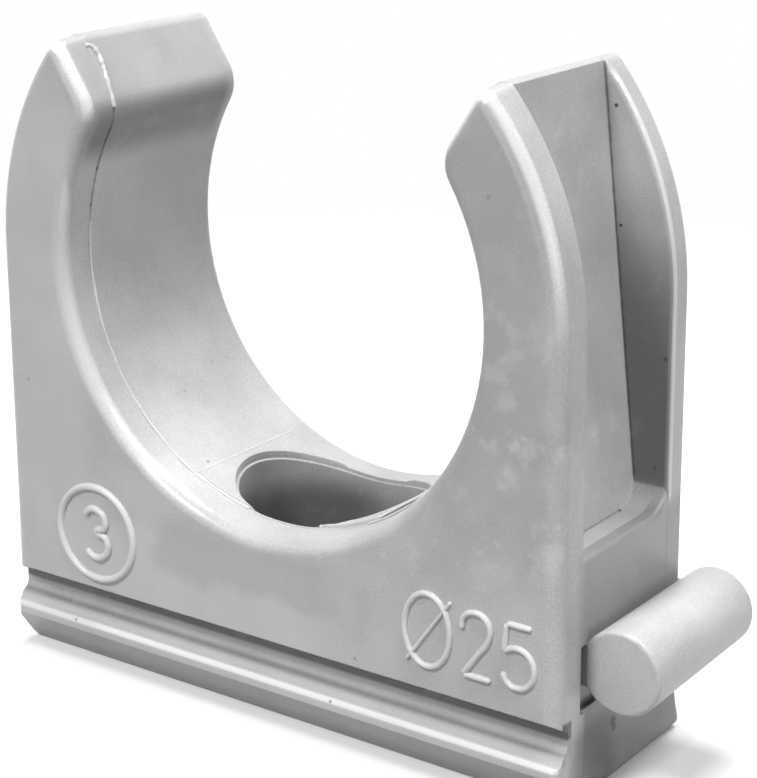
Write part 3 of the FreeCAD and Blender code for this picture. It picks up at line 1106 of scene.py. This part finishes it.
@dataclass
class PartingFlash:
    """The thin ragged line that the two halves of the mould leave on the seat and the lips."""

    fine: Ridge = Ridge(0.1, ragged=1.8, wander=(0.04, 0.14, 0.05), noise_scale=900.0, seed=8.0)
    torn: Ridge = Ridge(0.26, 0.0, 0.05, ragged=2.0, wander=(0.05, 0.3, 0.1), seed=21.0)
    tops: tuple[tuple[str, int, float], ...] = (("left", -1, 24.2), ("right", 1, 33.35))
    recess_reach: float = 5.1
    samples: int = 40
    tip_line: tuple[Point2, ...] = ((-3.95, 33.4), (-3.5, 33.0), (-3.6, 32.4), (-3.8, 31.5), (-3.88, 30.3))

    def _side(self, surface: BVHTree, side: int, top: float) -> list[Vector]:
        """Finds the line on one arm, from its upper end down to the screw recess.

        Args:
            surface: The body's surface.
            side: 1 for the right arm, -1 for the left.
            top: Height of the upper end, in millimetres.

        Returns:
            Points on the surface, in metres.
        """
        rays = []
        for i in range(self.samples + 1):
            z = top + (SEAT_CENTRE_Z - top) * i / self.samples
            rays.append((z, Vector((side, 0, 0))))
        low = math.acos(self.recess_reach / SEAT_RADIUS)
        for i in range(1, self.samples + 1):
            turn = low * i / self.samples
            rays.append((SEAT_CENTRE_Z, Vector((side * math.cos(turn), 0, -math.sin(turn)))))
        hits = [surface.ray_cast(to_metres((0, PARTING_Y, z)), aim)[0] for z, aim in rays]
        return [hit for hit in hits if hit is not None]

    def build(self, surface: BVHTree, ridges: RidgeTree, material: Material) -> None:
        """Builds the flash on both arms.

        Args:
            surface: The body's surface.
            ridges: The Geometry Nodes tree of the ridges.
            material: The flash's plastic.
        """
        for label, side, top in self.tops:
            line = self._side(surface, side, top)
            ridges.raise_ridge("parting_flash_" + label, [line], self.fine, material)
        torn = [surface.ray_cast(to_metres((0, y, z)), Vector((-1, 0, 0)))[0] for y, z in self.tip_line]
        ridges.raise_ridge("torn_flash", [torn], self.torn, material)


@dataclass(frozen=True)
class FloorFinish:
    """Plain pale paper, which fades into the white background."""

    name: str = "pale_paper"
    colour: Colour = grey(0.86)
    unlit: Colour = grey(0.18)
    fade: Point2 = (0.035, 0.11)

    def build(self) -> Material:
        """Builds the floor's material."""
        material, sheet = start_material(self.name)
        looks = {"Base Color": self.colour, "Roughness": 0.9, "Specular IOR Level": 0.1}
        paper = sheet.wire("ShaderNodeBsdfPrincipled", looks)
        white = sheet.wire("ShaderNodeEmission", {"Color": grey(1.0), "Strength": 1.0})
        dull = sheet.wire("ShaderNodeBsdfDiffuse", {"Color": self.unlit})
        place = sheet.add("ShaderNodeTexCoord").outputs["Object"]
        far = sheet.ramp(sheet.vector("LENGTH", place), *self.fade)
        shown = sheet.wire("ShaderNodeMixShader", {0: far, 1: paper, 2: white})
        both = sheet.wire("ShaderNodeMixShader", {0: sheet.seen_rays(), 1: dull, 2: shown})
        sheet.add("ShaderNodeOutputMaterial", {"Surface": both})
        return material


@dataclass(frozen=True)
class SoftBox:
    """A square soft light that faces a point of the clip, in metres and watts."""

    name: str
    place: Point3
    size: float
    power: float
    mirrored: bool = True
    aim: Point3 = (0.0, 0.0, 0.016)

    def build(self) -> None:
        """Adds the lamp."""
        data = bpy.data.lights.new(self.name, "AREA")
        data.shape = "SQUARE"
        data.size = self.size
        data.energy = self.power
        lamp = place_object(self.name, data)
        lamp.location = self.place
        direction = Vector(self.aim) - Vector(self.place)
        lamp.rotation_euler = direction.to_track_quat("-Z", "Y").to_euler()
        lamp.visible_camera = False
        lamp.visible_glossy = self.mirrored


@dataclass
class Studio:
    """The floor, the lamps and the white surround, which is seen but gives no light."""

    floor_half: float = 3.0
    lamps: tuple[SoftBox, ...] = (
        SoftBox("front_light", (-0.050, -0.285, 0.361), 0.1, 1.54),
        SoftBox("right_light", (0.230, -0.062, 0.398), 0.16, 1.2),
        SoftBox("back_light", (0.000, 0.116, 0.451), 0.15, 1.43),
        SoftBox("side_light", (0.439, -0.077, 0.079), 0.2, 0.56),
        SoftBox("low_light", (-0.078, -0.441, 0.055), 0.15, 0.36),
        SoftBox("rear_fill", (0.000, 0.238, 0.398), 0.28, 0.15),
        SoftBox("rear_low_light", (-0.030, 0.420, 0.060), 0.3, 1.1, mirrored=False),
        SoftBox("left_light", (-0.400, 0.120, 0.100), 0.3, 0.5, mirrored=False),
    )

    def build(self) -> None:
        """Builds the whole studio."""
        half = self.floor_half
        corners = [(-half, -half, 0), (half, -half, 0), (half, half, 0), (-half, half, 0)]
        mesh = bpy.data.meshes.new("floor")
        mesh.from_pydata(corners, [], [(0, 1, 2, 3)])
        mesh.materials.append(FloorFinish().build())
        floor = place_object("floor", mesh)
        for lamp in self.lamps:
            lamp.build()
        world = bpy.data.worlds.new("white_surround")
        bpy.context.scene.world = world
        world.use_nodes = True
        world.node_tree.nodes.clear()
        sheet = NodeSheet(world.node_tree)
        surround = sheet.wire("ShaderNodeBackground", {"Color": grey(1.0), "Strength": sheet.seen_rays()})
        sheet.add("ShaderNodeOutputWorld", {"Surface": surround})


@dataclass(frozen=True)
class PhotoCamera:
    """The camera at the photograph's place, in millimetres, degrees and pixels."""

    place: Point3 = (62.364, -82.726, 49.846)
    azimuth: float = 35.621
    elevation: float = 15.059
    roll: float = -0.361
    focal: float = 2138.64
    centre: Point2 = (378.5, 280.0)
    clip: Point2 = (0.005, 20.0)

    def build(self) -> None:
        """Adds the camera and makes it the scene's own."""
        turn, rise, twist = (math.radians(v) for v in (self.azimuth, self.elevation, self.roll))
        back = Vector((math.sin(turn) * math.cos(rise), -math.cos(turn) * math.cos(rise), math.sin(rise)))
        level = Vector((math.cos(turn), math.sin(turn), 0.0))
        upright = back.cross(level)
        right = math.cos(twist) * level + math.sin(twist) * upright
        up = math.cos(twist) * upright - math.sin(twist) * level
        data = bpy.data.cameras.new("photo_camera")
        data.sensor_width = SENSOR_WIDTH
        data.lens = self.focal * SENSOR_WIDTH / PHOTO_HEIGHT
        data.shift_x = (PHOTO_WIDTH / 2 - self.centre[0]) / PHOTO_HEIGHT
        data.shift_y = (self.centre[1] - PHOTO_HEIGHT / 2) / PHOTO_HEIGHT
        data.clip_start, data.clip_end = self.clip
        camera = place_object("photo_camera", data)
        turned = Matrix((right, up, back)).transposed().to_4x4()
        camera.matrix_world = Matrix.Translation(Vector(self.place) * MM) @ turned
        bpy.context.scene.camera = camera


def main() -> None:
    """Builds the clip's looks, the floor, the lamps and the camera."""
    logging.basicConfig(level=logging.INFO, format="%(message)s")
    bpy.context.scene.view_settings.view_transform = "Standard"
    PhotoCamera().build()
    Studio().build()
    effects = SurfaceEffects()
    plastic = GREY_PLASTIC.build(effects)
    mark_plastic_painted_highlight = MARK_PLASTIC_PAINTED_HIGHLIGHT.build(effects)
    flash_plastic = FLASH_PLASTIC.build(effects)
    ridges = RidgeTree()
    shell = ClipShell()
    shell.build(plastic)
    FrontMarks().build(ridges, mark_plastic_painted_highlight)
    PartingFlash().build(shell.surface(), ridges, flash_plastic)
    SeatPad().build(plastic)
    RecessFlash().build(ridges, flash_plastic)


if __name__ == "__main__":
    main()
